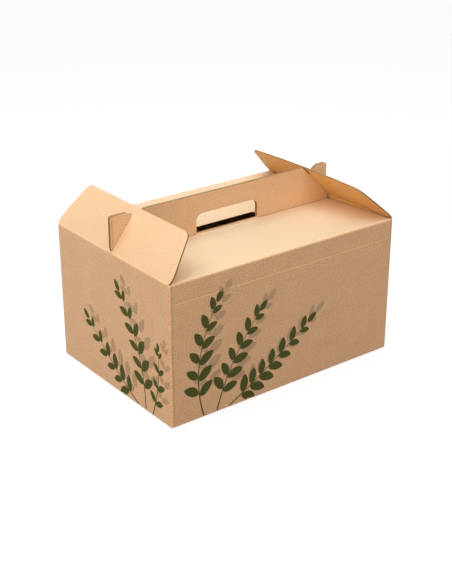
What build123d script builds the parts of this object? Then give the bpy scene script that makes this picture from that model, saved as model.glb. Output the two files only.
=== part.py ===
from build123d import *
import os
from math import cos, radians, sin, tan

# Kraft lunch box with a carrying handle, folded from one sheet of microflute board.
# Origin at the centre of the base, X along the length, the front at -Y, +Z up, millimetres.

# Board
board = 1.6  # thickness
cut_overrun = 5.0  # how far a cutting shape runs past what it cuts

# Body
body_length = 284.0
body_width = 200.0
body_height = 150.0  # table to the top of the long folds
corner_fold_radius = 3.0  # outside radius of the four upright folds
edge_fold_radius = 2.0  # outside radius of the folds round the base and along the lids
base_seam_width = 0.8  # where the two base panels meet
base_seam_depth = 0.5
seam_tab_width = 32.0  # glued tab inside the back right corner
score_drop = 20.3  # score line on the front wall, below the top of the fold
score_width = 1.0
score_depth = 0.3

# Lids
lid_slope_deg = 3.2  # each lid falls this much towards the middle
lid_end_gap = 2.0  # between a lid's end and the inner face of the end wall
crease_fold_radius = 0.6  # inside radius where a lid turns up into its handle leaf

# Handle
handle_height = 41.8  # crease to top edge
leaf_gap = 0.4  # air between the two leaves
handle_corner_radius = 2.5
hand_hole_width = 78.5
hand_hole_height = 20.0
hand_hole_corner_radius = 7.5
hand_hole_foot_radius = 0.8
hand_hole_lip = 1.4  # board left between the crease and the hole
finger_slot_width = 94.0
finger_slot_reach = 13.5  # from the middle of the box into the back lid
finger_slot_corner_radius = 4.0
left_ear_inset = 1.0  # end of the left ears, inside the outer face of the end wall
right_ear_inset = 6.8
ear_foot_rise = 3.8  # underside of the ears above the flap's hinge
ear_shoulder_deg = 63.0  # where the ears' top edge turns down, seen from the flap's hinge
notch_wall_deg = 43.0  # inner wall of the notch, seen from the flap's hinge

# End flaps
left_flap_tilt_deg = 52.0  # above level, leaning in
right_flap_tilt_deg = 45.7
flap_bridge = 8.9  # end of the slit to the free edge
flap_root_inset = 0.5  # at each end of the hinge
flap_shoulder = 10.5  # each side edge is square to the hinge this far, then leans in
flap_taper = 13.0  # each side edge leans in by this much
flap_corner_radius = 9.0
hinge_gap = 0.4  # between the wall's top and the flap's rounded root
slit_root = 2.0  # hinge to the start of the slit
slit_side_clearance = 0.4  # each side of the two ears
slit_end_clearance = 0.8  # between the ears' round shoulders and the end of the slit

# Places that follow from the sizes
half_length = body_length / 2
half_width = body_width / 2
wall_top = body_height - edge_fold_radius
hinge_x = half_length - board / 2
hinge_z = wall_top + hinge_gap + board / 2
lid_half = half_length - board - lid_end_gap
leaf_middle = leaf_gap / 2 + board / 2
leaf_face = leaf_gap / 2 + board
lid_slope = radians(lid_slope_deg)
fold_middle = edge_fold_radius - board / 2
fold_centre_y = half_width - edge_fold_radius


def lid_middle(distance):
    """Height of the middle of a lid's board, at this distance from the middle of the box."""
    return wall_top + fold_middle / cos(lid_slope) - tan(lid_slope) * (fold_centre_y - distance)


crease_z = lid_middle(leaf_face) + board / 2 / cos(lid_slope)
handle_top = crease_z + handle_height
hand_hole_foot = crease_z + hand_hole_lip
ear_foot = hinge_z + ear_foot_rise
ear_reach = (handle_top - hinge_z) / sin(radians(ear_shoulder_deg))
slit_reach = ear_reach + slit_end_clearance
flap_reach = slit_reach + flap_bridge


def rounded_rectangle_block(length, width, radius, height):
    return extrude(RectangleRounded(length, width, radius), height)


def shell():
    """Walls and base."""
    outer = rounded_rectangle_block(body_length, body_width, corner_fold_radius, wall_top)
    outer = fillet(outer.edges().group_by(Axis.Z)[0], edge_fold_radius)
    inner = rounded_rectangle_block(
        body_length - 2 * board,
        body_width - 2 * board,
        corner_fold_radius - board,
        wall_top + cut_overrun,
    )
    inner = fillet(inner.edges().group_by(Axis.Z)[0], edge_fold_radius - board)
    base_seam = Box(body_length - 2 * edge_fold_radius, base_seam_width, 2 * base_seam_depth)
    score = Box(body_length - 2 * corner_fold_radius, 2 * score_depth, score_width)
    score = Pos(0, -half_width, body_height - score_drop) * score
    return outer - Pos(0, 0, board) * inner - base_seam - score


def seam_tab():
    """Tab glued inside the back wall at the right."""
    height = wall_top - board - edge_fold_radius
    tab = Box(seam_tab_width, board, height, align=(Align.MAX, Align.MAX, Align.MIN))
    return Pos(half_length - board, half_width - board, board) * tab


def lid(side):
    """Lid with its long fold and the turn of its crease. side is -1 for the front and 1 for the back."""
    wall_y = half_width - board / 2
    path = FilletPolyline(
        (side * wall_y, wall_top - edge_fold_radius),
        (side * wall_y, lid_middle(wall_y)),
        (side * leaf_middle, lid_middle(leaf_middle)),
        (side * leaf_middle, hand_hole_foot),
        radius=(fold_middle, crease_fold_radius + board / 2),
    )
    profile = Plane.YZ * trace(path, board)
    return extrude(profile, lid_half, both=True)


def hand_hole():
    """Outline of the hand hole in the upright leaves."""
    hole = Pos(0, hand_hole_foot + hand_hole_height / 2) * Rectangle(hand_hole_width, hand_hole_height)
    hole = fillet(hole.vertices().group_by(Axis.Y)[-1], hand_hole_corner_radius)
    return fillet(hole.vertices().group_by(Axis.Y)[0], hand_hole_foot_radius)


def notch():
    """Notch at the right end, where the flap's bridge drops in behind the ears' round shoulders."""
    reach = handle_top + cut_overrun - hinge_z
    wedge = Polygon(
        (0, 0),
        (reach / tan(radians(notch_wall_deg)), reach),
        (0, reach),
        align=None,
    )
    return Pos(hinge_x, hinge_z) * mirror(wedge - Circle(ear_reach), about=Plane.YZ)


def handle_leaf(side):
    """Upright leaf of the handle, with its hand hole, notches and ears."""
    foot = crease_z + crease_fold_radius
    outline = Polygon(
        (-lid_half, foot),
        (lid_half, foot),
        (lid_half, ear_foot),
        (half_length - right_ear_inset, ear_foot),
        (half_length - right_ear_inset, handle_top),
        (left_ear_inset - half_length, handle_top),
        (left_ear_inset - half_length, ear_foot),
        (-lid_half, ear_foot),
        align=None,
    )
    outline -= notch()
    outline -= mirror(notch(), about=Plane.YZ)
    outline = fillet(outline.vertices().group_by(Axis.Y)[-1], handle_corner_radius)
    leaf = extrude(Plane.XZ * outline, board)
    leaf = Pos(0, -leaf_gap / 2, 0) * leaf
    return leaf if side < 0 else mirror(leaf, about=Plane.XZ)


def finger_slot():
    """Opening through the back lid, from between the leaves to its rounded rear corners."""
    slot = Pos(0, finger_slot_reach / 2) * Rectangle(finger_slot_width, finger_slot_reach)
    slot = fillet(slot.vertices().group_by(Axis.Y)[-1], finger_slot_corner_radius)
    foot = lid_middle(0) - board - crease_fold_radius - cut_overrun
    return Pos(0, 0, foot) * extrude(slot, hand_hole_foot - foot)


def carton():
    """The folded sheet, apart from the end flaps."""
    sheet = shell() + seam_tab()
    for side in (-1, 1):
        sheet += lid(side)
        sheet += handle_leaf(side)
    hole = extrude(Plane.XZ * hand_hole(), leaf_face + cut_overrun, both=True)
    return sheet - hole - finger_slot()


def end_flap():
    """End flap lying level, hinge line on the Y axis, free edge at +X."""
    root_half = half_width - flap_root_inset
    free_half = root_half - flap_taper
    outline = Polygon(
        (0, -root_half),
        (flap_shoulder, -root_half),
        (flap_reach, -free_half),
        (flap_reach, free_half),
        (flap_shoulder, root_half),
        (0, root_half),
        align=None,
    )
    outline = fillet(outline.vertices().group_by(Axis.X)[-1], flap_corner_radius)
    slit_width = 2 * (leaf_face + slit_side_clearance)
    slit_length = slit_reach - slit_root
    outline -= Pos(slit_root + slit_length / 2, 0) * Rectangle(slit_length, slit_width)
    panel = extrude(outline, board / 2, both=True)
    root = Rot(90, 0, 0) * Cylinder(board / 2, 2 * root_half)
    return panel + root


def left_end_flap():
    return Pos(-hinge_x, 0, hinge_z) * Rot(0, -left_flap_tilt_deg, 0) * end_flap()


def right_end_flap():
    level = mirror(end_flap(), about=Plane.YZ)
    return Pos(hinge_x, 0, hinge_z) * Rot(0, right_flap_tilt_deg, 0) * level


os.makedirs("parts", exist_ok=True)
for make_piece in (carton, left_end_flap, right_end_flap):
    export_step(make_piece(), f"parts/{make_piece.__name__}.step")
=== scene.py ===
"""Kraft lunch box with a carrying handle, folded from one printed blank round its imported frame."""

import math
from types import SimpleNamespace

import bpy
import numpy as np
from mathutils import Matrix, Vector
from mathutils.geometry import delaunay_2d_cdt


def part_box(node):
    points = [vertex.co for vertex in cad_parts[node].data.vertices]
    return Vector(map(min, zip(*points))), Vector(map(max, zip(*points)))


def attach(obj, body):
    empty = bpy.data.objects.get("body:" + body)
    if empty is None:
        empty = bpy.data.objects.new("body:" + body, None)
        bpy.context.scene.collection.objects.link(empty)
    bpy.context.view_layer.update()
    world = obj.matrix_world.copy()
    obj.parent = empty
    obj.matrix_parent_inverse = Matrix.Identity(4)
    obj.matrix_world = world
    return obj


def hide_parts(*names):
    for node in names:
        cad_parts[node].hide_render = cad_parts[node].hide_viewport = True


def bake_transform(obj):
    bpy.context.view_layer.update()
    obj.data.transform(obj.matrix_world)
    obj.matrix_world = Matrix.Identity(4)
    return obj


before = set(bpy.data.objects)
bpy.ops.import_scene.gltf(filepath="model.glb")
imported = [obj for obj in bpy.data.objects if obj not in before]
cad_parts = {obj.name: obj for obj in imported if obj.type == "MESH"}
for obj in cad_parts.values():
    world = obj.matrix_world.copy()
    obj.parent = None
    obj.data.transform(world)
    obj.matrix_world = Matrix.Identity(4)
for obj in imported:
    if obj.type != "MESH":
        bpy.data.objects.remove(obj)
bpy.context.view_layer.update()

bl_info = {
    "name": "Kraft Lunch Box",
    "version": (1, 0, 0),
    "blender": (4, 5, 0),
    "location": "3D View > Sidebar > Lunch Box",
    "description": "Folds a kraft carton with a carrying handle from one printed blank",
    "category": "Object",
}

CARTON_LOW, CARTON_HIGH = (np.array(corner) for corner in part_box("carton"))
CARTON_SIZE = CARTON_HIGH - CARTON_LOW
QUARTER = math.pi / 2
# The smallest length that counts, and the smallest doubled area
TINY = 1e-8
SLIVER = 1e-13


# Sizes and colours that a user would change

def size_of(name, description, default):
    return bpy.props.FloatProperty(
        name=name, description=description, default=default, min=0.0, precision=4, unit="LENGTH"
    )


def angle_of(name, description, degrees):
    return bpy.props.FloatProperty(
        name=name,
        description=description,
        default=math.radians(degrees),
        subtype="ANGLE",
        unit="ROTATION",
    )


def colour_of(name, description, default):
    return bpy.props.FloatVectorProperty(
        name=name, description=description, default=default, min=0.0, max=1.0, size=3, subtype="COLOR"
    )


class BoxSizes(bpy.types.PropertyGroup):
    """Sizes of the folded carton"""

    board: size_of("Board", "Thickness of the board", 0.0016)
    length: size_of("Length", "Outside length", float(CARTON_SIZE[0]))
    width: size_of("Width", "Outside width", float(CARTON_SIZE[1]))
    height: size_of("Height", "Table to the top of the long folds", 0.150)
    corner_fold: size_of("Corner fold", "Outside radius of the upright folds", 0.003)
    edge_fold: size_of("Edge fold", "Outside radius of the folds at the base and the lids", 0.002)
    score_drop: size_of("Score drop", "Score line on the front wall below the long fold", 0.0203)
    lid_slope: angle_of("Lid slope", "Fall of each lid towards the middle", 3.2)
    lid_end_gap: size_of("Lid end gap", "Air between a lid and the end wall", 0.002)
    crease_fold: size_of("Crease fold", "Inside radius at the foot of the handle", 0.0006)
    handle_height: size_of("Handle height", "Crease to the top edge of the handle", 0.0418)
    leaf_gap: size_of("Leaf gap", "Air between the two leaves of the handle", 0.0004)
    handle_corner: size_of("Handle corner", "Radius of the handle's corners", 0.0025)
    hole_width: size_of("Hand hole width", "Width of the hand hole", 0.0785)
    hole_height: size_of("Hand hole height", "Height of the hand hole", 0.020)
    hole_corner: size_of("Hand hole corner", "Radius at the top of the hand hole", 0.0075)
    hole_lip: size_of("Hand hole lip", "Board between the crease and the hand hole", 0.0014)
    slot_width: size_of("Finger slot width", "Width of the slot behind the handle", 0.094)
    slot_reach: size_of("Finger slot reach", "Reach of the slot into the back lid", 0.0135)
    slot_corner: size_of("Finger slot corner", "Radius of the slot's rear corners", 0.004)
    left_ear_inset: size_of("Left ear inset", "Left ears inside the end wall's outer face", 0.001)
    right_ear_inset: size_of("Right ear inset", "Right ears inside the end wall's outer face", 0.0068)
    ear_foot_rise: size_of("Ear foot rise", "Underside of the ears above the hinge", 0.0038)
    ear_shoulder: angle_of("Ear shoulder", "Where the ears' top edge turns down, from the hinge", 63.0)
    notch_wall: angle_of("Notch wall", "Inner wall of the notch, from the hinge", 43.0)
    hinge_gap: size_of("Hinge gap", "Wall top to the flap's root", 0.0004)
    left_tilt: angle_of("Left flap tilt", "Left end flap above level", 52.0)
    right_tilt: angle_of("Right flap tilt", "Right end flap above level", 45.7)
    flap_bridge: size_of("Flap bridge", "End of the slit to the free edge", 0.0089)
    flap_shoulder: size_of("Flap shoulder", "Square start of each side edge", 0.0105)
    flap_taper: size_of("Flap taper", "Lean of each side edge", 0.013)
    flap_corner: size_of("Flap corner", "Radius of the flap's free corners", 0.009)
    slit_root: size_of("Slit root", "Hinge to the start of the slit", 0.002)
    slit_side: size_of("Slit clearance", "Air each side of the ears in the slit", 0.0004)
    slit_end: size_of("Slit end clearance", "Air between the ears and the end of the slit", 0.0008)
    tab_width: size_of("Glue tab width", "Tab glued inside the back wall", 0.030)
    bow: size_of("Bow", "How far each wall bows out in its middle", 0.0005)
    droop: size_of("Flap droop", "How far the free corners of an end flap droop", 0.0025)
    flute: size_of("Flute pitch", "Crest to crest of the fluted core", 0.0032)


class BoxColours(bpy.types.PropertyGroup):
    """Colours of the board and its print"""

    outside: colour_of("Outside", "Kraft liner on the outside", (0.726, 0.492, 0.289))
    # Painted shade: this browner, deeper tone than the outside liner stands for the shade on the inner
    # faces
    inside: colour_of("Inside", "Kraft liner on the inside", (0.700, 0.438, 0.174))
    edge: colour_of("Cut edge", "Liners and flutes at a cut edge", (0.520, 0.302, 0.125))
    # Painted shade: the colour put into the hollows between the flutes at a cut edge
    core: colour_of("Core", "Shaded hollows of the fluted core", (0.150, 0.072, 0.034))
    leaf: colour_of("Leaf ink", "Dark green print", (0.058, 0.091, 0.023))
    shade: colour_of("Shade ink", "Grey brown print behind the leaves", (0.494, 0.370, 0.255))
    floor: colour_of("Floor", "Pale floor", (0.180, 0.180, 0.180))


# The folded blank

# Air at the glued seam, and how far into the long fold the cut between lid and end flap reaches
SEAM_GAP = 0.0001
CORNER_CUT = 0.6
# Bend radius at an end flap's crease, in half boards
HINGE_BEND = 1.25
# Depth and half width of the round grooves along the score and the handle's crease
SCORE_GROOVE = (0.00026, 0.00050)
HANDLE_GROOVE = (0.00030, 0.00045)
# Bow of the end walls and lids as a share of the long walls' bow
SHORT_BOW = 0.8


def chord(length, turn, heading):
    """Chord of an even bend, half of the turn on: length times sin(turn / 2) / (turn / 2)."""
    reach = length * np.sinc(turn / (2 * np.pi))
    middle = heading + turn / 2
    return np.stack([reach * np.cos(middle), reach * np.sin(middle)], axis=-1)


def walk(stretches, place, heading, along):
    """Place and heading at distances along a line of straight runs and even bends.

    Each stretch is a length and a turn. The heading grows evenly along a stretch, and the place is the
    sum of the whole chords before it and the chord of the part walked in it.
    """
    length, turn = np.array(stretches, float).T
    begin = np.cumsum(length) - length
    headings = heading + np.cumsum(turn) - turn
    steps = chord(length, turn, headings)
    places = np.array(place) + np.cumsum(steps, axis=0) - steps
    i = np.clip(np.searchsorted(begin, along, side="right") - 1, 0, len(length) - 1)
    part = along - begin[i]
    bend = part * turn[i] / length[i]
    return places[i] + chord(part, bend, headings[i]), headings[i] + bend


def form_of(sizes):
    """Places on the blank that follow from the sizes.

    A place on the blank is s, the way round the walls from the glued seam at the back right, and t, the
    way up, which is the height on the walls, grows over the lids into the handle, and is below zero
    under the base.
    """
    f = SimpleNamespace(sizes=sizes)
    half_board = sizes.board / 2
    f.half_board = half_board
    f.mid_x = sizes.length / 2 - half_board
    f.mid_y = sizes.width / 2 - half_board
    corner = sizes.corner_fold - half_board
    arc = corner * QUARTER
    f.run_x = f.mid_x - corner
    f.run_y = f.mid_y - corner
    f.seam_y = f.run_y - sizes.board
    start_x = sizes.length / 2 - SEAM_GAP
    f.back = start_x
    f.left = f.back + f.run_x + arc + f.run_y
    f.front = f.left + f.run_y + arc + f.run_x
    f.right = f.front + f.run_x + arc + f.run_y
    f.corner_arc = arc
    f.bends = [f.back + f.run_x, f.left + f.run_y, f.front + f.run_x, f.right + f.seam_y]
    f.tab = f.right + f.seam_y + arc
    f.tab_end = f.tab + sizes.tab_width
    f.plan_start = (start_x, f.mid_y)
    f.plan = [
        (start_x + f.run_x, 0), (arc, QUARTER), (2 * f.run_y, 0), (arc, QUARTER), (2 * f.run_x, 0),
        (arc, QUARTER), (f.run_y + f.seam_y, 0), (arc, QUARTER), (2 * sizes.tab_width, 0),
    ]
    f.foot = sizes.edge_fold
    edge = sizes.edge_fold - half_board
    f.base = f.foot - edge * QUARTER
    f.base_line = [(edge * QUARTER, QUARTER), (sizes.width, 0)]
    f.base_depth_y = f.mid_y - edge
    f.wall_top = sizes.height - sizes.edge_fold
    slope = sizes.lid_slope
    turn = QUARTER + slope
    crease = sizes.crease_fold + half_board
    leaf_y = sizes.leaf_gap / 2 + half_board
    f.leaf_face = leaf_y + half_board
    lid_run = (f.mid_y - leaf_y) / math.cos(slope)
    f.lid = f.wall_top + edge * turn
    f.lid_end = f.lid + lid_run - (edge + crease) * math.tan(turn / 2)
    f.leaf = f.lid_end + crease * turn
    f.handle_crease = (f.lid_end + f.leaf) / 2
    corner_z = f.wall_top + edge * math.tan(turn / 2) - lid_run * math.sin(slope)
    leaf_z = corner_z + crease * math.tan(turn / 2)
    f.leaf_rise = f.leaf - leaf_z
    f.lid_slope = slope
    f.lid_end_y = leaf_y + crease * math.tan(turn / 2) * math.cos(slope)
    f.crease_z = corner_z + half_board / math.cos(slope) + half_board * math.tan(slope)
    f.handle_top = f.crease_z + sizes.handle_height
    f.hole_foot = f.crease_z + sizes.hole_lip
    f.hole_top = f.hole_foot + sizes.hole_height
    f.lid_half = sizes.length / 2 - sizes.board - sizes.lid_end_gap
    f.lid_line = [
        (f.wall_top - f.foot, 0), (f.lid - f.wall_top, -turn), (f.lid_end - f.lid, 0),
        (f.leaf - f.lid_end, turn), (2 * sizes.handle_height, 0),
    ]
    f.hinge_z = f.wall_top + sizes.hinge_gap + half_board
    f.ear_foot = f.hinge_z + sizes.ear_foot_rise
    f.ear_reach = (f.handle_top - f.hinge_z) / math.sin(sizes.ear_shoulder)
    f.slit_reach = f.ear_reach + sizes.slit_end
    f.flap_reach = f.slit_reach + sizes.flap_bridge
    f.score = sizes.height - sizes.score_drop
    f.flap_cut = f.wall_top - sizes.edge_fold
    f.corner_top = f.wall_top + CORNER_CUT * (f.lid - f.wall_top)
    return f


def flap_line(f, tilt):
    """Way up an end wall and along its flap: straight, a small bend at the hinge, and straight on."""
    bend = HINGE_BEND * f.half_board
    turn = QUARTER - tilt
    tangent = bend * math.tan(turn / 2)
    line = [(f.hinge_z - tangent - f.foot, 0), (bend * turn, -turn), (2 * f.flap_reach, 0)]
    return line, tangent, bend * turn


def groove(way, depth, width):
    """The depth times a bell curve, which falls to about a third at the half width."""
    return depth * np.exp(-((way / width) ** 2))


def bow(f, centres, s, t):
    """How far the board stands off its flat panels.

    Each wall and lid bows by a cosine along it times a sine up it. The free corners of an end flap droop
    with the squares of the ways along and across it. The score and the handle's crease are narrow round
    grooves.
    """
    panels = (
        (f.back, f.run_x, f.foot, f.wall_top, 1.0),
        (f.left, f.run_y, f.foot, f.wall_top, SHORT_BOW),
        (f.front, f.run_x, f.foot, f.wall_top, 1.0),
        (f.right, f.run_y, f.foot, f.wall_top, SHORT_BOW),
        (f.back, f.lid_half, f.lid, f.lid_end, SHORT_BOW),
        (f.front, f.lid_half, f.lid, f.lid_end, SHORT_BOW),
    )
    lift = np.zeros_like(s)
    for centre, half, low, high, share in panels:
        along = (s - centre) / half
        up = (t - low) / (high - low)
        on = (np.abs(along) < 1) & (up > 0) & (up < 1)
        lift += np.where(on, share * f.sizes.bow * np.cos(along * QUARTER) * np.sin(up * np.pi), 0.0)
    for centre in {f.left, f.right}.intersection(centres):
        out = np.abs(s - centre) / (f.sizes.width / 2)
        along = np.clip((t - f.lid) / f.flap_reach, 0, 1)
        lift -= f.sizes.droop * (out * along) ** 2
    on_front = np.abs(s - f.front) < f.run_x
    lift -= np.where(on_front, groove(t - f.score, *SCORE_GROOVE), 0.0)
    return lift - groove(t - f.handle_crease, *HANDLE_GROOVE)


def folded(f, line, panels, s, t, lift):
    """Place of the blank's point (s, t) on the folded carton.

    The plan line of the walls gives a point and its outward side at s, which past the wall's fold are
    those of the nearest panel's straight run. The upright line gives how far t has come inward and up,
    and the board's outer side there. The point moves inward and up by that, and then by the bow and the
    lift along that side.
    """
    plan, heading = walk(f.plan, f.plan_start, math.pi, s)
    nearest = np.array(panels)[np.abs(s[..., None] - panels).argmin(axis=-1)]
    middle, straight = walk(f.plan, f.plan_start, math.pi, nearest)
    level = np.stack([np.cos(straight), np.sin(straight)], axis=-1)
    past = t > f.lid
    plan = np.where(past[..., None], middle + level * (s - nearest)[..., None], plan)
    heading = np.where(past, straight, heading)
    outward = np.stack([np.sin(heading), -np.cos(heading)], axis=-1)
    up, rise = walk(line, (0, f.foot), QUARTER, t - f.foot)
    down, fall = walk(f.base_line, (0, f.foot), -QUARTER, f.foot - t)
    below = t < f.foot
    inward = np.where(below[..., None], down, up)
    slope = np.where(below, fall + math.pi, rise)
    side = np.stack([-np.sin(slope), np.cos(slope)], axis=-1)
    inward = inward + side * (lift + bow(f, panels, s, t))[..., None]
    flat = plan - outward * inward[..., :1]
    return np.concatenate([flat, inward[..., 1:]], axis=-1)


# Outlines on the blank

# Corner radii of cuts that are nearly sharp
TIGHT_CORNER = 0.0004
SMALL_CORNER = 0.0008
# Mitre of the base flaps, the step before it, and the air between the flaps that meet
BASE_MITRE = 0.044
BASE_STEP = 0.00085
BASE_GAP = 0.0002
# Glue tab: its cuts above the foot at the seam, fold and free edge, and below the top at the fold and
# the free edge
TAB_LOW = (0.0004, 0.001, 0.006)
TAB_HIGH = (0.002, 0.008)
# End flap: inset of its sides, rise and radius of the relief cut by the wall and by the flap, bend
# radius of the sides, and radii at the foot and the end of the slit
FLAP_INSET = 0.0007
RELIEF_RISE = (0.0006, 0.0016)
RELIEF_CORNERS = (0.0003, 0.0005)
SHOULDER_BEND = 0.020
SLIT_CORNERS = (0.0018, 0.0006)


def unit(ways):
    """Each way divided by its length."""
    return ways / np.maximum(np.linalg.norm(ways, axis=1, keepdims=True), TINY)


def rounded(points, radii, steps=7):
    """A closed outline whose corners give way to arcs that touch both of their edges."""
    p = np.array(points, float)
    radius = np.array(radii, float)[:, None]
    to_last = unit(np.roll(p, 1, axis=0) - p)
    to_next = unit(np.roll(p, -1, axis=0) - p)
    half = np.arccos(np.clip((to_last * to_next).sum(axis=1, keepdims=True), -1, 1)) / 2
    middle = unit(to_last + to_next)
    centre = p + middle * radius / np.sin(half)
    fan = (QUARTER - half) * np.linspace(-1, 1, steps)
    across = unit(to_next - (to_next * middle).sum(axis=1, keepdims=True) * middle)
    arcs = (
        centre[:, None]
        - middle[:, None] * (radius * np.cos(fan))[..., None]
        + across[:, None] * (radius * np.sin(fan))[..., None]
    ).reshape(-1, 2)
    moved = np.linalg.norm(arcs - np.roll(arcs, 1, axis=0), axis=1) > TINY
    return arcs[moved]


def ear_side(f, inset):
    """Corners and radii up one end of a lid and over its ear to the handle's top, as ways out and up."""
    sizes = f.sizes
    end = sizes.length / 2 - inset
    angles = np.linspace(sizes.ear_shoulder, sizes.notch_wall, 7)[1:]
    arc = np.stack([-np.cos(angles), np.sin(angles)], axis=-1) * f.ear_reach + (f.mid_x, f.hinge_z)
    rise = f.handle_top - f.hinge_z
    shoulder = f.mid_x - rise / math.tan(sizes.ear_shoulder)
    wall = f.mid_x - rise / math.tan(sizes.notch_wall)
    corners = [
        (f.lid_half, f.corner_top - f.leaf_rise), (f.lid_half, f.ear_foot), (end, f.ear_foot),
        (end, f.handle_top), (shoulder, f.handle_top), *arc, (wall, f.handle_top),
    ]
    radii = [0, TIGHT_CORNER, SMALL_CORNER, sizes.handle_corner, sizes.handle_corner]
    radii += [0] * (len(arc) - 1) + [TIGHT_CORNER, sizes.handle_corner]
    return np.array(corners) + (0, f.leaf_rise), radii


def lid_top(f, centre, first_inset, last_inset):
    """Lid and handle leaf on the blank, up the far end, along the top and down the near end."""
    first, first_radii = ear_side(f, first_inset)
    last, last_radii = ear_side(f, last_inset)
    corners = np.concatenate([first, (last * (-1, 1))[::-1]])
    return corners + (centre, 0), first_radii + last_radii[::-1]


def base_flap(f, centre, first, last, depth=None):
    """Base flap on the blank, nearer end first: mitred in, and straight down to a depth.

    Each end gives the half length at the fold, the step down to the mitre, and the half length below it.
    """
    corners = [(-first[0], 0), (-first[0], -first[1]), (-first[2], -BASE_MITRE)]
    if depth:
        corners += [(-first[2], BASE_GAP - depth), (last[2], BASE_GAP - depth)]
    corners += [(last[2], -BASE_MITRE), (last[0], -last[1]), (last[0], 0)]
    return np.array(corners) + (centre, f.base)


def carton_outline(f):
    """Edge of the blank without its end flaps: base flaps, glue tab, lids and handle leaves."""
    sizes = f.sizes
    in_x = f.run_x - (BASE_MITRE - BASE_STEP)
    in_y = f.run_y - (BASE_MITRE - BASE_STEP)
    long_end = (f.run_x, BASE_STEP, in_x)
    short_end = (f.run_y, BASE_STEP, in_y)
    seam_end = (f.seam_y, BASE_STEP + sizes.board, in_y)
    bottom = np.concatenate([
        [(0, f.base)],
        base_flap(f, f.back, long_end, long_end, f.base_depth_y),
        base_flap(f, f.left, short_end, short_end),
        base_flap(f, f.front, long_end, long_end, f.base_depth_y),
        base_flap(f, f.right, short_end, seam_end),
    ])
    seam = f.right + f.seam_y
    at_seam, at_fold, at_edge = TAB_LOW
    below_fold, below_edge = TAB_HIGH
    tab = np.array([
        (seam, f.foot + at_seam), (f.tab, f.foot + at_fold), (f.tab_end, f.foot + at_edge),
        (f.tab_end, f.wall_top - below_edge), (f.tab, f.wall_top - below_fold), (seam, f.wall_top),
        (seam, f.flap_cut), (f.right - f.run_y, f.flap_cut), (f.right - f.run_y, f.corner_top),
    ])
    front, front_radii = lid_top(f, f.front, sizes.right_ear_inset, sizes.left_ear_inset)
    left = np.array([
        (f.left + f.run_y, f.corner_top), (f.left + f.run_y, f.flap_cut),
        (f.left - f.run_y, f.flap_cut), (f.left - f.run_y, f.corner_top),
    ])
    back, back_radii = lid_top(f, f.back, sizes.left_ear_inset, sizes.right_ear_inset)
    end = np.array([(0, f.corner_top)])
    corners = np.concatenate([bottom, tab, front, left, back, end])
    radii = [0] * (len(bottom) + len(tab)) + front_radii + [0] * len(left) + back_radii + [0]
    return rounded(corners, radii)


def hand_hole(f):
    """Hand hole in the front leaf, round at the top."""
    half = f.sizes.hole_width / 2
    low = f.hole_foot + f.leaf_rise
    high = f.hole_top + f.leaf_rise
    corners = np.array([(-half, low), (half, low), (half, high), (-half, high)]) + (f.front, 0)
    return rounded(corners, [SMALL_CORNER, SMALL_CORNER, f.sizes.hole_corner, f.sizes.hole_corner])


def back_hole(f):
    """Hand hole of the back leaf, joined to the finger slot in the back lid below it."""
    sizes = f.sizes
    half = sizes.hole_width / 2
    wide = sizes.slot_width / 2
    low = f.lid_end - (sizes.slot_reach - f.lid_end_y) / math.cos(f.lid_slope)
    foot = f.hole_foot + f.leaf_rise
    high = f.hole_top + f.leaf_rise
    corners = np.array([
        (-wide, low), (wide, low), (wide, foot), (half, foot),
        (half, high), (-half, high), (-half, foot), (-wide, foot),
    ]) + (f.back, 0)
    slot, hole = sizes.slot_corner, sizes.hole_corner
    return rounded(corners, [slot, slot, 0, 0, hole, hole, 0, 0])


def flap_outline(f, centre, first, last, line_start):
    """Edge of an end flap and its strip of wall: square shoulders, leaning sides, round corners."""
    sizes = f.sizes
    root = sizes.width / 2 - FLAP_INSET
    free = root - sizes.flap_taper
    strip = f.flap_cut - line_start
    by_wall, by_flap = RELIEF_RISE
    corners = np.array([
        (-first, strip), (last, strip), (last, by_wall), (root, by_flap),
        (root, sizes.flap_shoulder), (free, f.flap_reach), (-free, f.flap_reach),
        (-root, sizes.flap_shoulder), (-root, by_flap), (-first, by_wall),
    ]) + (centre, line_start)
    side = [*RELIEF_CORNERS, SHOULDER_BEND, sizes.flap_corner]
    return rounded(corners, [0, 0, *side, *side[::-1]])


def flap_slit(f, centre, line_start):
    """Slit that hooks over the ears, round at its foot."""
    half = f.leaf_face + f.sizes.slit_side
    low = f.sizes.slit_root
    corners = np.array([(-half, low), (half, low), (half, f.slit_reach), (-half, f.slit_reach)])
    return rounded(corners + (centre, line_start), np.repeat(SLIT_CORNERS, 2))


# Boards cut from the blank

# Lattice of the boards: steps on flat board, on the handle and end flaps, on the wall by a hinge, and in
# the folds, then how far from a fold the lines beside it stand
FLAT_STEP = 0.009
NARROW_STEP = 0.006
STRIP_STEP = 0.0008
CORNER_STEP = 0.0004
FOLD_STEP = 0.0003
LID_STEP = 0.00025
HINGE_STEP = 0.0002
BY_FOLD = np.array([0.0006, 0.0014, 0.003])
BY_HINGE = np.array([0.0004, 0.0009, 0.0015, 0.0025, 0.004])
PAST_HINGE = 0.008
PAST_FOLD = 0.006
BY_HANDLE = 0.0015
SCORE_REACH = 0.0012
# Lattice points keep this far from a cut, and corners sharper than this angle are shaded as edges
RIM_CLEARANCE = 0.00025
SHARP_ANGLE = math.radians(40)


def linked(name, data):
    """A new object in the scene."""
    made = bpy.data.objects.new(name, data)
    bpy.context.scene.collection.objects.link(made)
    return made


def divided(start, end, step):
    """Even places from start to end, at most a step apart."""
    return np.linspace(start, end, max(2, int(math.ceil((end - start) / step)) + 1))


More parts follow.
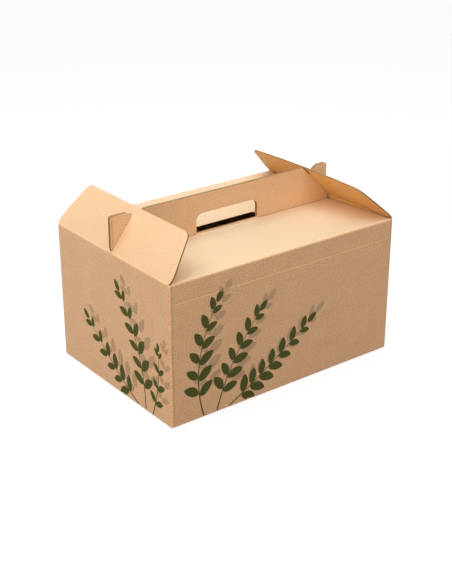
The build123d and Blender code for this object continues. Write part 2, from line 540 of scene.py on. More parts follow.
def refined(loop, lines_s, lines_t):
    """The outline with a point added wherever it crosses a line of the lattice."""
    apart = 1e-6
    step = np.roll(loop, -1, axis=0) - loop
    crossings = []
    for axis, lines in enumerate((lines_s, lines_t)):
        run = np.where(np.abs(step[:, axis]) < TINY, np.nan, step[:, axis])
        share = (lines[None] - loop[:, axis, None]) / run[:, None]
        row = np.arange(len(loop))[:, None] + share
        crossings.append(row[(share > apart) & (share < 1 - apart)])
    at = np.unique(np.concatenate([np.arange(len(loop)), *crossings]))
    at = at[np.append(True, np.diff(at) > apart)]
    i = at.astype(int)
    return loop[i] + (at - i)[:, None] * step[i]


def within(points, loops, margin):
    """Points inside the outlines by the even-odd rule, and clear of every edge by the margin."""
    a = np.concatenate(loops)
    step = np.concatenate([np.roll(loop, -1, axis=0) - loop for loop in loops])
    rel = points[:, None] - a
    rises = (rel[..., 1] < 0) != (rel[..., 1] < step[:, 1])
    level = np.where(step[:, 1] == 0, 1.0, step[:, 1])
    crossed = rel[..., 0] < rel[..., 1] * step[:, 0] / level
    odd = (rises & crossed).sum(axis=1) % 2 == 1
    share = np.clip((rel * step).sum(axis=-1) / (step**2).sum(axis=-1), 0, 1)
    away = np.linalg.norm(rel - share[..., None] * step, axis=-1).min(axis=1)
    return odd & (away > margin)


def sheet_grid(loops, lines_s, lines_t):
    """Points and triangles that fill the outlines, on a lattice of s and t lines that they meet."""
    lattice = np.stack(np.meshgrid(lines_s, lines_t), axis=-1).reshape(-1, 2)
    lattice = lattice[within(lattice, loops, RIM_CLEARANCE)]
    rims = [refined(loop, lines_s, lines_t) for loop in loops]
    starts = np.cumsum([0] + [len(rim) for rim in rims])
    edges = np.concatenate([
        start + np.stack([np.arange(len(rim)), np.roll(np.arange(len(rim)), -1)], axis=-1)
        for start, rim in zip(starts, rims)
    ])
    points = np.concatenate([*rims, lattice])
    made = delaunay_2d_cdt(list(map(Vector, points.tolist())), edges.tolist(), [], 0, TINY)
    st = np.array([tuple(v) for v in made[0]])
    triangles = np.array(made[2])
    keep = within(st[triangles].mean(axis=1), loops, 0.0)
    triangles = triangles[keep]
    a, b, c = (st[triangles[:, k]] for k in range(3))
    area = (b - a)[:, 0] * (c - a)[:, 1] - (b - a)[:, 1] * (c - a)[:, 0]
    triangles = np.where((area < 0)[:, None], triangles[:, ::-1], triangles)
    used, places = np.unique(triangles[np.abs(area) > SLIVER], return_inverse=True)
    return st[used], places.reshape(-1, 3)


def open_edges(triangles, count):
    """Edges that only one triangle has, in that triangle's direction."""
    ways = np.concatenate([triangles[:, [0, 1]], triangles[:, [1, 2]], triangles[:, [2, 0]]])
    key = ways.min(axis=1) * count + ways.max(axis=1)
    _, first, times = np.unique(key, return_index=True, return_counts=True)
    return ways[first[times == 1]]


def board_piece(name, f, line, panels, loops, lines, creases, finishes):
    """A board cut from the blank and folded: outer face, inner face and the cut edge all round.

    The UV map holds s and t on the faces. On the cut edge it holds t and the way through the board, so
    that the flutes, which run along s, show there as they would in a real cut. Each crease is an axis, a
    place on it, a half width with a share, and the middle and reach of its span along the other axis. It
    adds the share times a bell curve to the wear_and_light attribute, which the liner shows as paler
    scuffing, painted highlights and painted shade.
    """
    st, triangles = sheet_grid(loops, *lines)
    count = len(st)
    s, t = st.T
    half = np.full(count, f.half_board)
    points = np.concatenate([folded(f, line, panels, s, t, half), folded(f, line, panels, s, t, -half)])
    rim = open_edges(triangles, count)
    i, j = rim.T
    quads = np.stack([i, i + count, j + count, j], axis=-1)
    mesh = bpy.data.meshes.new(name)
    inner = triangles[:, ::-1] + count
    mesh.from_pydata(points.tolist(), [], [*triangles.tolist(), *inner.tolist(), *quads.tolist()])
    edge_uv = np.stack([t[i], t[i] * 0, t[i], t[i] * 0 + 1, t[j], t[j] * 0 + 1, t[j], t[j] * 0], axis=-1)
    uv = np.concatenate([st[triangles].ravel(), st[triangles[:, ::-1]].ravel(), edge_uv.ravel()])
    mesh.uv_layers.new(name="sheet").data.foreach_set("uv", uv.astype(np.float32))
    kinds = np.repeat([0, 1, 2], [len(triangles), len(triangles), len(quads)])
    for finish in finishes:
        mesh.materials.append(finish)
    mesh.polygons.foreach_set("material_index", kinds.astype(np.int32))
    mesh.polygons.foreach_set("use_smooth", np.ones(len(kinds), bool))
    mesh.set_sharp_from_angle(angle=SHARP_ANGLE)
    wear_and_light = np.zeros(count)
    for axis, at, (width, share), middle, reach in creases:
        on = np.abs(st[:, 1 - axis] - middle) < reach
        wear_and_light += np.where(on, groove(st[:, axis] - at, share, width), 0.0)
    crease_tone = mesh.attributes.new("wear_and_light", "FLOAT", "POINT")
    crease_tone.data.foreach_set("value", np.tile(wear_and_light, 2).astype(np.float32))
    mesh.update()
    return linked(name, mesh)


def carton_lines(f):
    """Lattice of the carton: wide apart on flat board and close together in the folds."""
    ends = [bend + f.corner_arc for bend in f.bends]
    score_low, score_high = f.score - SCORE_REACH, f.score + SCORE_REACH
    across = [divided(start, end, FLAT_STEP) for start, end in zip([0, *ends], [*f.bends, f.tab_end])]
    across += [divided(start, end, CORNER_STEP) for start, end in zip(f.bends, ends)]
    across += [bend - BY_FOLD for bend in f.bends] + [end + BY_FOLD for end in ends]
    across += [f.front + side * (f.sizes.hole_width / 2 + BY_FOLD[:2]) for side in (-1, 1)]
    up = [
        divided(f.base - f.base_depth_y, f.base - PAST_FOLD, FLAT_STEP), f.base - BY_FOLD,
        divided(f.base, f.foot, FOLD_STEP), f.foot + BY_FOLD, f.wall_top - BY_FOLD,
        divided(f.foot + PAST_FOLD, score_low, FLAT_STEP), divided(score_low, score_high, FOLD_STEP),
        divided(score_high, f.wall_top - PAST_FOLD, NARROW_STEP), divided(f.wall_top, f.lid, LID_STEP),
        f.lid + BY_FOLD, divided(f.lid + PAST_FOLD, f.lid_end - 2 * BY_HANDLE, FLAT_STEP),
        [f.lid_end - BY_HANDLE], divided(f.lid_end, f.leaf, FOLD_STEP),
        divided(f.leaf + BY_HANDLE, f.handle_top + f.leaf_rise, NARROW_STEP),
    ]
    return np.unique(np.concatenate(across).round(7)), np.unique(np.concatenate(up).round(7))


def flap_lines(f, centre, tangent, bend):
    """Lattice of an end flap: close together at the hinge."""
    hinge = f.hinge_z - tangent
    up = [
        divided(f.flap_cut, hinge, STRIP_STEP), divided(hinge, hinge + bend, HINGE_STEP),
        hinge + bend + BY_HINGE,
        divided(hinge + PAST_HINGE, hinge + f.flap_reach, NARROW_STEP),
    ]
    across = centre + divided(-f.sizes.width / 2, f.sizes.width / 2, NARROW_STEP)
    return across, np.unique(np.concatenate(up).round(7))


# Print

# Sprigs on the front and left walls: foot, middle and tip in millimetres from the foot of the wall's
# middle line, then pairs of leaves and leaf length
FRONT_SPRIGS = (
    (((-104, 0), (-122, 58), (-88, 116)), 6, 22),
    (((-88, 0), (-74, 50), (-36, 92)), 6, 21),
    (((-74, 0), (-36, 18), (26, 62)), 7, 22),
)
LEFT_SPRIGS = (
    (((56, 0), (56, 62), (16, 112)), 6, 21),
    (((44, 0), (6, 16), (-44, 60)), 6, 20),
    (((68, 0), (82, 34), (80, 72)), 4, 15),
)
STEM_WIDTH = 0.0016
# How far the shades stand from their leaves
SHADE_SHIFT = np.array((0.0105, 0.0085))
# Ink stands out of the board by its lift and reaches into it by the sink
SHADE_LIFT = 0.00002
LEAF_LIFT = 0.00005
INK_SINK = 0.0001


def stem_at(stem, share):
    """Place and heading on a stem: the curve from its foot to its tip that leans to the middle point."""
    foot, middle, tip = (np.array(p, float) for p in stem)
    q = np.asarray(share)[..., None]
    place = (1 - q) ** 2 * foot + 2 * q * (1 - q) * middle + q**2 * tip
    along = (1 - q) * (middle - foot) + q * (tip - middle)
    return place, np.arctan2(along[..., 1], along[..., 0])


def sprig_leaves(stem, pairs, size, rows=13, columns=5):
    """Leaves of a sprig as one grid each: paired ovals, smaller towards the stem's tip, and an end one.

    The pairs sit evenly up the stem, a little out of step. A leaf's turn from the stem and its length
    fall evenly up the stem, and its length also sways by a sine. At the way a along a leaf its half
    width is a^0.7 times (1 - a)^0.8 with blunt ends, its middle line curls back by a - a^2, and a short
    stalk holds it off the stem.
    """
    first, last, out_of_step = 0.20, 0.93, 0.012
    half_width, blunt, stalk, curl = 0.235, 0.004, 0.06, 0.16
    share = np.append(np.repeat(np.linspace(first, last, pairs), 2), 1.0)
    side = np.append(np.tile([1.0, -1.0], pairs), 0.0)
    share = np.clip(share + out_of_step * side, 0, 1)
    place, heading = stem_at(stem, share)
    way = heading + side * np.radians(58 - 22 * share)
    sway = 1 + 0.10 * np.sin(7.3 * share + 2 * side)
    length = (size * (1.08 - 0.46 * share) * sway)[:, None, None]
    a = np.linspace(blunt, 1 - blunt, rows)[None, :, None]
    b = np.linspace(-1, 1, columns)[None, None, :]
    belly = a**0.7 * (1 - a) ** 0.8
    width = half_width * belly / belly.max() + blunt
    back = curl * np.where(side == 0, 0.4, -side)[:, None, None]
    x = length * (stalk + (1 - stalk) * a + 0 * b)
    y = length * (width * b + back * (a - a**2))
    c, s = np.cos(way)[:, None, None], np.sin(way)[:, None, None]
    return np.stack([c * x - s * y, s * x + c * y], axis=-1) + place[:, None, None]


def sprig_stem(stem, width, rows=25):
    """The stem of a sprig as a narrow grid that tapers evenly to its tip."""
    taper = 0.72
    share = np.linspace(0, 1, rows)
    place, heading = stem_at(stem, share)
    half = width / 2 * (1 - taper * share)
    side = np.stack([-np.sin(heading), np.cos(heading)], axis=-1) * half[:, None]
    return np.stack([place - side, place, place + side], axis=1)[None]


def slab_faces(blocks, rows, columns, start, layer):
    """Faces of flat closed blocks on a grid: top, bottom and the four narrow sides of each."""
    at = start + np.arange(blocks * rows * columns).reshape(blocks, rows, columns)
    quad = np.stack([at[:, :-1, :-1], at[:, 1:, :-1], at[:, 1:, 1:], at[:, :-1, 1:]], axis=-1)
    quad = quad.reshape(-1, 4)
    ring = np.concatenate([at[:, :-1, 0], at[:, -1, :-1], at[:, :0:-1, -1], at[:, 0, :0:-1]], axis=1)
    after = np.roll(ring, -1, axis=1)
    rim = np.stack([ring, ring + layer, after + layer, after], axis=-1).reshape(-1, 4)
    return np.concatenate([quad, quad[:, ::-1] + layer, rim])


def print_piece(name, f, grids, lift, finish):
    """Ink on the board: each grid becomes a thin block that stands out of the board by the lift."""
    sizes = [grid.shape[:3] for grid in grids]
    st = np.concatenate([grid.reshape(-1, 2) for grid in grids])
    count = len(st)
    s, t = st.T
    panels = [f.back, f.front]
    top = folded(f, f.lid_line, panels, s, t, np.full(count, f.half_board + lift))
    under = folded(f, f.lid_line, panels, s, t, np.full(count, f.half_board - INK_SINK))
    starts = np.cumsum([0] + [math.prod(size) for size in sizes])
    faces = np.concatenate([slab_faces(*size, start, count) for size, start in zip(sizes, starts)])
    mesh = bpy.data.meshes.new(name)
    mesh.from_pydata(np.concatenate([top, under]).tolist(), [], faces.tolist())
    uv = np.concatenate([st, st])[faces.ravel()]
    mesh.uv_layers.new(name="sheet").data.foreach_set("uv", uv.ravel().astype(np.float32))
    mesh.materials.append(finish)
    mesh.update()
    return linked(name, mesh)


def print_grids(f):
    """Leaves and stems of every sprig on the blank, in metres."""
    leaves = []
    stems = []
    for centre, sprigs in ((f.front, FRONT_SPRIGS), (f.left, LEFT_SPRIGS)):
        for stem, pairs, size in sprigs:
            points = np.array(stem) / 1000 + (centre, f.foot)
            leaves.append(sprig_leaves(points, pairs, size / 1000))
            stems.append(sprig_stem(points, STEM_WIDTH))
    return leaves, stems


# Finishes

# How much of a fibre's light or dark shows in red, green and blue, so that the grain reads as grey
FIBRE_SHARES = (0.78, 1.30, 1.60)
# Strength of the grain on the lids and on the walls, where the walls' grain ends below the long fold,
# and the strength under ink, in ink and at a cut edge
# The walls' stronger grain paints the relief shading that grazing light brings out on them
LINER_GRAIN = (0.11, 0.24)
GRAIN_EDGE = 0.001
BARE_GRAIN = 0.085
INK_GRAIN = 0.22
CUT_GRAIN = 0.14
# Strength and depth of the relief on the liners and at cut edges, and the fibres' share in it
LINER_RELIEF = (0.8, 0.00005)
CUT_RELIEF = (0.6, 0.0003)
FIBRE_RELIEF = 0.35
# Painted shade: near-black colour of the cut edge inside the finger slot, which lies in the dark
SLOT_SHADE = (0.008, 0.005, 0.003, 1.0)


def add(tree, kind, inputs=None, **fields):
    """A new node with its fields and input values set."""
    node = tree.nodes.new(kind)
    for field, value in fields.items():
        setattr(node, field, value)
    for socket, value in (inputs or {}).items():
        if isinstance(value, bpy.types.NodeSocket):
            tree.links.new(value, node.inputs[socket])
        else:
            node.inputs[socket].default_value = value
    return node


def maths(tree, operation, a, b=0.0, c=0.0):
    return add(tree, "ShaderNodeMath", {0: a, 1: b, 2: c}, operation=operation).outputs[0]


def spread(tree, value, low, high, to_low, to_high, smooth=False):
    """The value mapped from one range to another and held inside it."""
    kind = "SMOOTHSTEP" if smooth else "LINEAR"
    ends = {0: value, 1: low, 2: high, 3: to_low, 4: to_high}
    return add(tree, "ShaderNodeMapRange", ends, interpolation_type=kind).outputs[0]


def blended(tree, share, first, second):
    made = add(tree, "ShaderNodeMix", {0: share, 6: first, 7: second}, data_type="RGBA")
    return made.outputs[2]


def parts_of(tree, vector):
    return add(tree, "ShaderNodeSeparateXYZ", {0: vector}).outputs


def sheet_place(tree):
    """The place on the blank that the piece's UV map holds."""
    return add(tree, "ShaderNodeUVMap", uv_map="sheet").outputs[0]


def waved(tree, turns):
    """The sine of a number of whole turns."""
    return maths(tree, "SINE", maths(tree, "MULTIPLY", turns, 2 * math.pi))


def new_group(name, inputs, outputs):
    """An empty node group with named sockets, and its two end nodes."""
    tree = bpy.data.node_groups.new(name, "ShaderNodeTree")
    for label, kind in inputs:
        tree.interface.new_socket(label, in_out="INPUT", socket_type=kind)
    for label, kind in outputs:
        tree.interface.new_socket(label, in_out="OUTPUT", socket_type=kind)
    return tree, add(tree, "NodeGroupInput").outputs, add(tree, "NodeGroupOutput").inputs


def kraft_fibres():
    """Mottled pulp with long fibres and dark and pale flecks, stretched along the sheet."""
    tree, given, made = new_group(
        "Kraft Fibres",
        (("Sheet", "NodeSocketVector"), ("Colour", "NodeSocketColor"), ("Strength", "NodeSocketFloat")),
        (("Colour", "NodeSocketColor"), ("Height", "NodeSocketFloat")),
    )

    def noise(scale, detail, lift):
        place = add(tree, "ShaderNodeMapping", {0: given[0], 1: (lift, lift, 0), 3: scale}).outputs[0]
        return add(tree, "ShaderNodeTexNoise", {0: place, 2: 1.0, 3: detail, 4: 0.6}).outputs[0]

    fibre = noise((480, 1000, 1), 3.0, 3.1)
    mottle = noise((38, 60, 1), 3.0, 7.7)
    fleck = noise((620, 1150, 1), 1.0, 1.3)
    pale = noise((480, 900, 1), 1.0, 9.4)
    shift = spread(tree, fibre, 0.25, 0.75, -0.9, 0.9)
    shift = maths(tree, "ADD", shift, spread(tree, mottle, 0.25, 0.75, -0.18, 0.18))
    shift = maths(tree, "ADD", shift, spread(tree, fleck, 0.62, 0.74, 0.0, -1.5, True))
    shift = maths(tree, "ADD", shift, spread(tree, pale, 0.62, 0.74, 0.0, 1.0, True))
    shift = maths(tree, "MULTIPLY", shift, given[2])
    levels = {0: shift, 1: FIBRE_SHARES, 2: (1, 1, 1)}
    level = add(tree, "ShaderNodeVectorMath", levels, operation="MULTIPLY_ADD").outputs[0]
    tinted = add(tree, "ShaderNodeVectorMath", {0: given[1], 1: level}, operation="MULTIPLY").outputs[0]
    tree.links.new(tinted, made[0])
    tree.links.new(fibre, made[1])
    return tree


def flute_lines():
    """Washboard of the core that shows through the liner: a sine up the sheet, stronger in places."""
    tree, given, made = new_group(
        "Flute Lines",
        (("Sheet", "NodeSocketVector"), ("Pitch", "NodeSocketFloat")),
        (("Crest", "NodeSocketFloat"),),
    )
    parts = parts_of(tree, given[0])
    place = add(tree, "ShaderNodeMapping", {0: given[0], 3: (14, 26, 1)}).outputs[0]
    broad = add(tree, "ShaderNodeTexNoise", {0: place, 2: 1.0, 3: 2.0}).outputs[0]
    turns = maths(tree, "DIVIDE", parts[1], given[1])
    turns = maths(tree, "MULTIPLY_ADD", broad, 0.35, turns)
    depth = spread(tree, broad, 0.3, 0.7, 0.22, 0.5)
    tree.links.new(maths(tree, "MULTIPLY_ADD", waved(tree, turns), depth, 0.5), made[0])
    return tree


def flute_cut():
    """Cut edge of the board: 1 on the two liners and the wave of the core between them, 0 in the
    hollows.
    """
    tree, given, made = new_group(
        "Flute Cut",
        (("Edge", "NodeSocketVector"), ("Pitch", "NodeSocketFloat")),
        (("Board", "NodeSocketFloat"),),
    )
    parts = parts_of(tree, given[0])
    wave = waved(tree, maths(tree, "DIVIDE", parts[0], given[1]))
    through = maths(tree, "SUBTRACT", parts[1], 0.5)
    core = maths(tree, "ABSOLUTE", maths(tree, "MULTIPLY_ADD", wave, -0.30, through))
    core = spread(tree, core, 0.08, 0.16, 1.0, 0.0, True)
    liner = spread(tree, maths(tree, "ABSOLUTE", through), 0.32, 0.40, 0.0, 1.0, True)
    tree.links.new(maths(tree, "MAXIMUM", core, liner), made[0])
    return tree


def placed(tree, name, make, inputs):
    """The named group in a material, made at its first use, with its inputs set."""
    group = bpy.data.node_groups.get(name) or make()
    return add(tree, "ShaderNodeGroup", inputs, node_tree=group).outputs


def bumped(tree, shader, height, strength, depth):
    """Relief of the surface by a height."""
    bump = add(tree, "ShaderNodeBump", {"Strength": strength, "Distance": depth, "Height": height})
    tree.links.new(bump.outputs[0], shader.inputs["Normal"])


def new_finish(name, roughness, specular):
    """A material with only its shader, whose even values are set on the shader's own sockets."""
    finish = bpy.data.materials.new(name)
    finish.use_nodes = True
    tree = finish.node_tree
    shader = next(node for node in tree.nodes if node.type == "BSDF_PRINCIPLED")
    shader.inputs["Roughness"].default_value = roughness
    shader.inputs["Specular IOR Level"].default_value = specular
    return finish, tree, shader


def full(colour):
    return (*colour, 1.0)


def liner_finish(name, colour, f, flute_share, pale_share, sheen):
    """Kraft liner: fibres and flecks, flute washboard, and creases that are paler or darker.

    Along the creases the liner is paler for scuffing and painted highlights, and darker for painted
    shade.
    The colour is a little lighter on the flute crests and darker between them, painted light and shade
    of the washboard. The grain is stronger on the walls than on the lids and end flaps, with the handle
    between them, which paints the relief shading that grazing light brings out on the walls.
    """
    finish, tree, shader = new_finish(name, 0.6, 0.45)
    shader.inputs["Sheen Weight"].default_value = sheen
    shader.inputs["Sheen Roughness"].default_value = 0.45
    sheet = sheet_place(tree)
    way_up = parts_of(tree, sheet)[1]
    # 1 on the walls, 0.6 on the handle, 0 on lids and flaps: sets the painted relief shading of grain
    # and flutes
    wall_weight = spread(tree, way_up, f.wall_top - GRAIN_EDGE, f.lid, 1.0, 0.0)
    wall_weight = maths(tree, "ADD", wall_weight, spread(tree, way_up, f.lid_end, f.leaf, 0.0, 0.6))
    grain = spread(tree, wall_weight, 0, 1, *LINER_GRAIN)
    pulp = {"Sheet": sheet, "Colour": full(colour), "Strength": grain}
    fibres = placed(tree, "Kraft Fibres", kraft_fibres, pulp)
    flutes = {"Sheet": sheet, "Pitch": f.sizes.flute}
    crest = placed(tree, "Flute Lines", flute_lines, flutes)[0]
    # The wear_and_light attribute makes the liner paler for scuffing and painted highlights, darker for
    # painted shade
    wear_and_light = add(tree, "ShaderNodeAttribute", attribute_name="wear_and_light").outputs["Fac"]
    pale = spread(tree, wear_and_light, 0, 1, 1.0, 1 + pale_share)
    crease_tone = maths(tree, "ADD", pale, spread(tree, wear_and_light, -1, 0, -0.72, 0.0))
    # Painted light and shade of the flute washboard: lighter over crests, darker between, more on the
    # walls
    share = spread(tree, wall_weight, 0, 1, 0.5 * flute_share, 2 * flute_share)
    ribs = maths(tree, "MULTIPLY_ADD", spread(tree, crest, 0, 1, -1, 1), share, 1.0)
    ribbed = maths(tree, "MULTIPLY", crease_tone, ribs)
    tinted_base = add(tree, "ShaderNodeVectorMath", {0: fibres[0], "Scale": ribbed}, operation="SCALE")
    tree.links.new(tinted_base.outputs[0], shader.inputs["Base Color"])
    tree.links.new(spread(tree, fibres[1], 0.3, 0.7, 0.68, 0.54), shader.inputs["Roughness"])
    ridge = maths(tree, "MULTIPLY", crest, spread(tree, wall_weight, 0, 1, 0.35, 1.0))
    bumped(tree, shader, maths(tree, "MULTIPLY_ADD", fibres[1], FIBRE_RELIEF, ridge), *LINER_RELIEF)
    return finish


def cut_finish(colours, f):
    """Cut edge: kraft liners and core, with painted shade in the hollows and all over the finger slot.
    """
    finish, tree, shader = new_finish("cut_edge", 0.85, 0.2)
    edge = sheet_place(tree)
    board = placed(tree, "Flute Cut", flute_cut, {"Edge": edge, "Pitch": f.sizes.flute})[0]
    object_place = add(tree, "ShaderNodeTexCoord").outputs["Object"]
    pulp = {"Sheet": object_place, "Colour": full(colours.edge), "Strength": CUT_GRAIN}
    fibres = placed(tree, "Kraft Fibres", kraft_fibres, pulp)
    x, y, _ = parts_of(tree, object_place)
    reach = f.sizes.slot_reach
    # Painted shade: the cut edge inside the finger slot turns near-black
    in_slot = maths(tree, "COMPARE", y, reach, reach - f.leaf_face)
    in_slot = maths(tree, "MULTIPLY", in_slot, maths(tree, "COMPARE", x, 0.0, f.sizes.slot_width / 2))
    # Painted shade in the hollows between the flutes
    kraft = blended(tree, board, full(colours.core), fibres[0])
    tree.links.new(blended(tree, in_slot, kraft, SLOT_SHADE), shader.inputs["Base Color"])
    bumped(tree, shader, board, *CUT_RELIEF)
    return finish


def ink_finish(name, colour, board, cover, thinning, pitch):
    """Ink soaked into the liner: the kraft shows through at the flecks and on the flute crests."""
    finish, tree, shader = new_finish(name, 0.7, 0.05)
    sheet = sheet_place(tree)
    pulp = {"Sheet": sheet, "Colour": full(board), "Strength": BARE_GRAIN}
    kraft = placed(tree, "Kraft Fibres", kraft_fibres, pulp)
    ink = {"Sheet": sheet, "Colour": full(colour), "Strength": INK_GRAIN}
    inked = placed(tree, "Kraft Fibres", kraft_fibres, ink)
    crest = placed(tree, "Flute Lines", flute_lines, {"Sheet": sheet, "Pitch": pitch})[0]
    proud = maths(tree, "MULTIPLY_ADD", crest, 0.3, kraft[1])
    thin = spread(tree, proud, 0.45, 0.95, cover, cover - thinning)
    tree.links.new(blended(tree, thin, kraft[0], inked[0]), shader.inputs["Base Color"])
    bumped(tree, shader, maths(tree, "MULTIPLY_ADD", kraft[1], FIBRE_RELIEF, crest), *LINER_RELIEF)
    return finish


def kraft_finishes(colours, f):
    """Outer liner, inner liner and cut edge, made once."""
    made = bpy.data.materials
    if "kraft_outside" not in made:
        liner_finish("kraft_outside", colours.outside, f, flute_share=0.020, pale_share=0.20, sheen=0.34)
        liner_finish("kraft_inside", colours.inside, f, flute_share=0.020, pale_share=0.10, sheen=0.0)
        cut_finish(colours, f)
    return [made["kraft_outside"], made["kraft_inside"], made["cut_edge"]]


# Operators

# Half width and share of what each crease adds to the wear_and_light attribute. Above zero the liner is
# paler: scuffing at the foot and hinge folds, scuffing with a painted highlight at the upright and long
# folds, and a painted highlight on the hand hole's lip and the score. Below zero it is darker: a darker
# line just past each upright fold, and painted shade in the handle's crease
# Scuffing with a painted highlight along each upright fold
CORNER_HIGHLIGHT = (0.0007, 0.30)
# A darker line just past each upright fold
CORNER_SHADE = (0.0008, -0.40)
FOOT_WEAR = (0.0010, 0.50)
# Scuffing with a painted highlight along the long fold
LONG_FOLD_HIGHLIGHT = (0.0010, 0.70)
# Painted shade in the crease at the foot of the handle
HANDLE_SHADE = (0.00045, -1.0)
# Painted highlight on the lit lip at the foot of the hand hole
HOLE_LIP_HIGHLIGHT = (0.0012, 1.0)
# Painted highlight on the lower lip of the score's groove, which faces up
SCORE_HIGHLIGHT = (0.0005, 0.9)
HINGE_WEAR = (0.0012, 0.4)
# The place of the darker line beside an upright fold as a share of the fold, the drop of the score's
# painted highlight below its line onto the groove's lower lip, which faces up, and a reach past the
# whole blank
SHADE_AT = 0.95
SCORE_LOWER = 0.0002
WHOLE = 2.0


class BOX_OT_carton(bpy.types.Operator):
    """Fold the walls, base, lids and handle from the blank"""

    bl_idname = "lunch_box.carton"
    bl_label = "Carton"

    def execute(self, context):
        sizes = context.scene.lunch_box_sizes
        f = form_of(sizes)
        loops = [carton_outline(f), hand_hole(f), back_hole(f)]
        hole = sizes.hole_width / 2
        beside = (f.lid_half - hole) / 2
        # Paler scuffing and painted highlights, a darker line past each upright fold, painted shade at
        # the handle's crease
        creases = [(0, bend + f.corner_arc / 2, CORNER_HIGHLIGHT, 0.0, WHOLE) for bend in f.bends]
        creases += [(0, bend + SHADE_AT * f.corner_arc, CORNER_SHADE, 0.0, WHOLE) for bend in f.bends]
        creases += [
            (1, (f.base + f.foot) / 2, FOOT_WEAR, f.front, WHOLE),
            (1, (f.wall_top + f.lid) / 2, LONG_FOLD_HIGHLIGHT, f.front, WHOLE),
            (1, f.handle_crease, HANDLE_SHADE, f.back, f.lid_half),
            (1, f.handle_crease, HANDLE_SHADE, f.front - hole - beside, beside),
            (1, f.handle_crease, HANDLE_SHADE, f.front + hole + beside, beside),
            (1, f.hole_foot + f.leaf_rise, HOLE_LIP_HIGHLIGHT, f.front, hole),
            (1, f.score - SCORE_LOWER, SCORE_HIGHLIGHT, f.front, f.run_x),
        ]
        finishes = kraft_finishes(context.scene.lunch_box_colours, f)
        lids = [f.back, f.front]
        lines = carton_lines(f)
        piece = board_piece("carton_board", f, f.lid_line, lids, loops, lines, creases, finishes)
        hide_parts("carton")
        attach(piece, "carton")
        return {"FINISHED"}


class BOX_OT_end_flaps(bpy.types.Operator):
    """Fold the two slit end flaps, each with the crease that joins it to its wall"""

    bl_idname = "lunch_box.end_flaps"
    bl_label = "End Flaps"

    def execute(self, context):
        sizes = context.scene.lunch_box_sizes
        f = form_of(sizes)
        finishes = kraft_finishes(context.scene.lunch_box_colours, f)
        ends = (
            ("left_end_flap", -1, f.left, f.run_y, sizes.left_tilt),
            ("right_end_flap", 1, f.right, f.seam_y, sizes.right_tilt),
        )
        for body, side, centre, last, tilt in ends:
            line, tangent, bend = flap_line(f, tilt)
            start = f.hinge_z - 2 * tangent + bend
            loops = [flap_outline(f, centre, f.run_y, last, start), flap_slit(f, centre, start)]
            lines = flap_lines(f, centre, tangent, bend)
            creases = [(1, f.hinge_z, HINGE_WEAR, centre, WHOLE)]
            piece = board_piece(f"{body}_board", f, line, [centre], loops, lines, creases, finishes)
            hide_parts(body)
            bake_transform(piece)
        return {"FINISHED"}


class BOX_OT_print(bpy.types.Operator):
    """Print leafy sprigs with soft shades behind them on the front and left walls"""

    bl_idname = "lunch_box.print"
    bl_label = "Leaf Print"

    def execute(self, context):
        sizes = context.scene.lunch_box_sizes
        colours = context.scene.lunch_box_colours
        f = form_of(sizes)
        leaves, stems = print_grids(f)
        board, pitch = colours.outside, sizes.flute
        green = ink_finish("leaf_ink", colours.leaf, board, cover=0.985, thinning=0.06, pitch=pitch)
        brown = ink_finish("shade_ink", colours.shade, board, cover=0.90, thinning=0.14, pitch=pitch)
        shades = [grid + SHADE_SHIFT for grid in leaves]
        for name, grids, lift, finish in (
            ("shade_print", shades, SHADE_LIFT, brown),
            ("leaf_print", leaves + stems, LEAF_LIFT, green),
        ):
            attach(print_piece(name, f, grids, lift, finish), "carton")
        return {"FINISHED"}


# Light of the sky at the horizon and overhead
HORIZON_LIGHT = (0.215, 0.170, 0.131, 1.0)
TOP_LIGHT = (0.100, 0.088, 0.077, 1.0)
# Half the floor's side, its place just under the box, its darker grain, and its glow as a background
FLOOR_HALF = 6.0
FLOOR_DROP = 0.0002
FLOOR_GRAIN = 0.985
FLOOR_GLOW = 0.86


def hung(lamp, place, aim, strength, colour):
    """The lamp at its place, turned to face the aim."""
    lamp.color = colour
    lamp.energy = strength
    holder = linked(lamp.name, lamp)
    holder.location = place
    holder.rotation_euler = (Vector(place) - Vector(aim)).to_track_quat("Z", "Y").to_euler()


def soft_sun(name, toward, strength, degrees, colour):
    """An even soft light that comes from the given direction, out of a wide patch of sky."""
    lamp = bpy.data.lights.new(name, "SUN")
    lamp.angle = math.radians(degrees)
    hung(lamp, toward, (0, 0, 0), strength, colour)


def soft_box(name, place, aim, size, power, colour):
    """A square soft box that faces the aim."""
    lamp = bpy.data.lights.new(name, "AREA")
    lamp.size = size
    hung(lamp, place, aim, power, colour)


def seen_only(tree):
    """1 for rays from the camera, mirrors and glass, which see the background and not the light."""
    path = add(tree, "ShaderNodeLightPath").outputs
    seen = maths(tree, "MAXIMUM", path["Is Camera Ray"], path["Is Glossy Ray"])
    return maths(tree, "MAXIMUM", seen, path["Is Transmission Ray"])


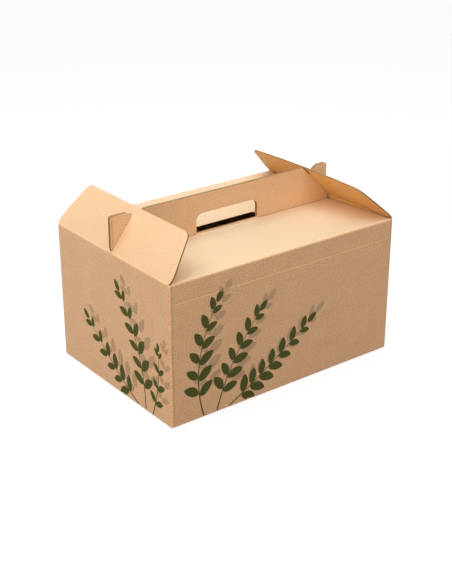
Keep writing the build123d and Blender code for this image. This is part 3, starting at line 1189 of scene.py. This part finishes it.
class BOX_OT_stage(bpy.types.Operator):
    """Set up the pale floor, soft light and camera"""

    bl_idname = "lunch_box.stage"
    bl_label = "Stage"

    def execute(self, context):
        scene = context.scene
        mesh = bpy.data.meshes.new("floor")
        corners = np.array([(-1, -1, 0), (1, -1, 0), (1, 1, 0), (-1, 1, 0)]) * FLOOR_HALF
        mesh.from_pydata((corners - (0, 0, FLOOR_DROP)).tolist(), [], [(0, 1, 2, 3)])
        floor = linked("floor", mesh)
        finish, tree, shader = new_finish("floor_paper", 0.9, 0.1)
        place = add(tree, "ShaderNodeTexCoord").outputs["Object"]
        grain = add(tree, "ShaderNodeTexNoise", {0: place, 2: 9.0, 3: 2.0}).outputs[0]
        floor_colour = Vector(scene.lunch_box_colours.floor)
        low, high = full(floor_colour * FLOOR_GRAIN), full(floor_colour)
        tree.links.new(blended(tree, grain, low, high), shader.inputs["Base Color"])
        shader.inputs["Emission Color"].default_value = (1, 1, 1, 1)
        glow = spread(tree, seen_only(tree), 0, 1, 0.0, FLOOR_GLOW)
        tree.links.new(glow, shader.inputs["Emission Strength"])
        mesh.materials.append(finish)

        world = bpy.data.worlds.new("studio")
        scene.world = world
        world.use_nodes = True
        tree = world.node_tree
        light = next(node for node in tree.nodes if node.type == "BACKGROUND")
        seen = seen_only(tree)
        toward = add(tree, "ShaderNodeTexCoord").outputs["Generated"]
        height = parts_of(tree, toward)[2]
        sky = blended(tree, spread(tree, height, 0, 1, 0, 1), HORIZON_LIGHT, TOP_LIGHT)
        tree.links.new(blended(tree, seen, sky, (1, 1, 1, 1)), light.inputs["Color"])

        soft_box("top_light", (-0.15, 0.05, 1.0), (0.0, 0.0, 0.12), 1.2, 13.6, (0.793, 0.929, 1.0))
        soft_sun("side_light", (-1.8, -0.3, 0.2), 1.66, 40, (1.0, 0.66, 0.40))
        soft_sun("front_light", (-0.5, -1.8, 0.5), 1.24, 60, (1.0, 0.75, 0.61))
        soft_sun("back_light", (1.3, 1.2, 0.45), 0.95, 60, (1.0, 0.85, 0.715))

        view = bpy.data.cameras.new("view")
        view.lens = 71.71
        view.sensor_width = 36.0
        view.clip_end = 50.0
        camera = linked("view", view)
        camera.location = (-0.6836, -0.8914, 0.5783)
        camera.rotation_euler = (QUARTER - math.radians(24.39), 0.0, -math.radians(37.47))
        scene.camera = camera
        scene.view_settings.view_transform = "Standard"
        return {"FINISHED"}


class BOX_PT_panel(bpy.types.Panel):
    """Lists the pieces with their sizes and colours"""

    bl_idname = "BOX_PT_panel"
    bl_label = "Lunch Box"
    bl_space_type = "VIEW_3D"
    bl_region_type = "UI"
    bl_category = "Lunch Box"

    def draw(self, context):
        for operator in OPERATORS:
            self.layout.operator(operator.bl_idname)
        for group in (context.scene.lunch_box_sizes, context.scene.lunch_box_colours):
            column = self.layout.column()
            for name in group.bl_rna.properties.keys():
                if name not in {"rna_type", "name"}:
                    column.prop(group, name)


OPERATORS = (BOX_OT_carton, BOX_OT_end_flaps, BOX_OT_print, BOX_OT_stage)
CLASSES = (BoxSizes, BoxColours, *OPERATORS, BOX_PT_panel)


def register():
    for cls in CLASSES:
        bpy.utils.register_class(cls)
    bpy.types.Scene.lunch_box_sizes = bpy.props.PointerProperty(type=BoxSizes)
    bpy.types.Scene.lunch_box_colours = bpy.props.PointerProperty(type=BoxColours)


def unregister():
    del bpy.types.Scene.lunch_box_colours
    del bpy.types.Scene.lunch_box_sizes
    for cls in reversed(CLASSES):
        bpy.utils.unregister_class(cls)


def main():
    register()
    bpy.ops.lunch_box.carton()
    bpy.ops.lunch_box.end_flaps()
    bpy.ops.lunch_box.print()
    bpy.ops.lunch_box.stage()


if __name__ == "__main__":
    main()
